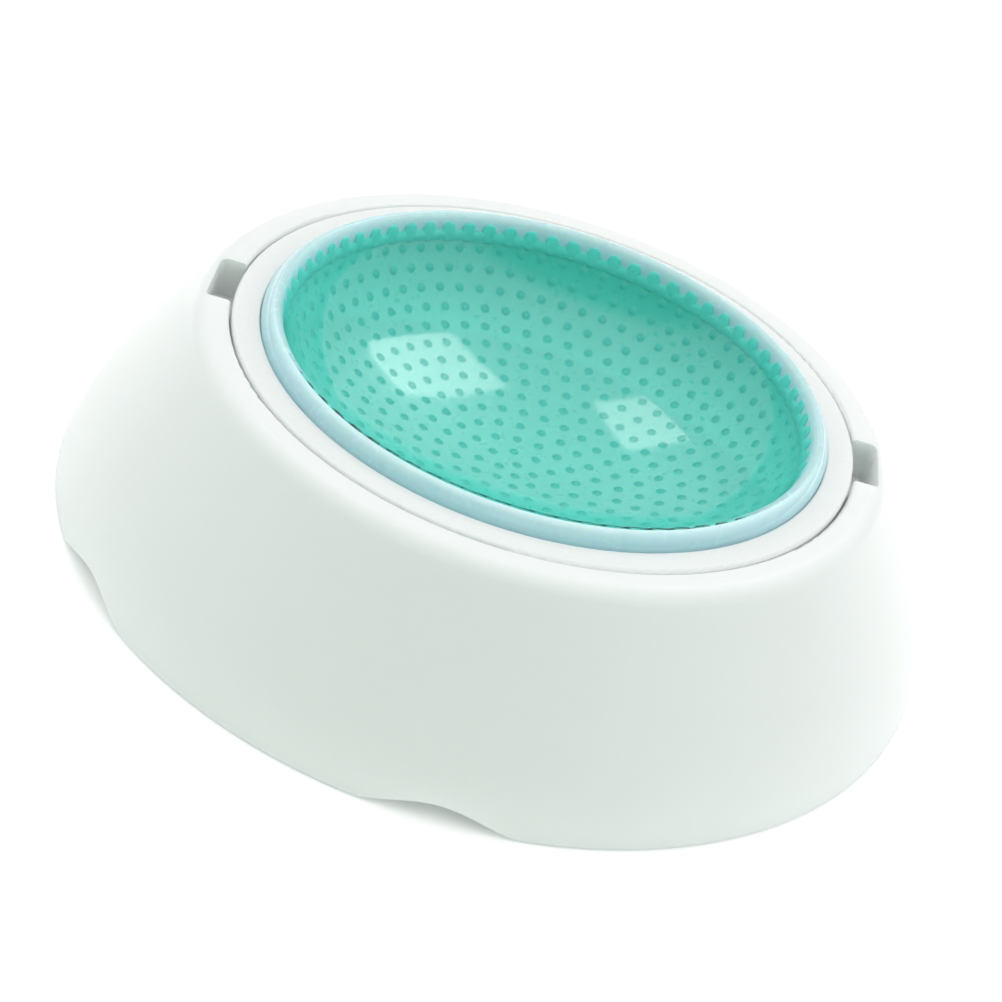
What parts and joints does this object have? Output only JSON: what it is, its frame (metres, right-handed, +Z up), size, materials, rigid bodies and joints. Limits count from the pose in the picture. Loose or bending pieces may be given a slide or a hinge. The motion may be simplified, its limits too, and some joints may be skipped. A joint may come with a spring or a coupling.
{
  "type": "chilled pet bowl",
  "caption": "Round chilled pet bowl: a flared white base with finger notches holds a lift-out clear dish over a teal cooling gel core.",
  "frame": {"origin": "on the table under the bowl's axis, in the plane of the feet", "axes": "+Z up along the bowl's axis; +X through one finger notch, the other is on -X"},
  "size_m": [0.216, 0.2142, 0.0547],
  "materials": {
    "base_white": "satin",
    "flange_white": "satin",
    "inner_white": "satin",
    "foam": "matte",
    "screw_steel": "satin",
    "foot_rubber": "matte",
    "clear_plastic": "gloss",
    "teal_gel": "satin",
    "teal_shell": "satin",
    "seal_silicone": "matte"
  },
  "bodies": {
    "base": {"base_shell": "base_white", "well_cup": "inner_white", "insulation": "foam", "bottom_cover": "inner_white", "cover_screws": "screw_steel", "foot_pad_1": "foot_rubber", "foot_pad_2": "foot_rubber", "foot_pad_3": "foot_rubber", "foot_pad_4": "foot_rubber", "foot_pad_5": "foot_rubber", "foot_pad_6": "foot_rubber"},
    "insert": {"flange_ring": "flange_white", "clear_liner": "clear_plastic", "rim_seal": "seal_silicone", "gel_core": "teal_gel", "gel_shell": "teal_shell", "fill_plug": "flange_white", "plug_seal": "seal_silicone"}
  },
  "joints": [
    {"name": "insert_lift", "type": "slide", "parent": "base", "child": "insert", "axis": [0, 0, 1], "range_m": [0, 0.06]}
  ]
}
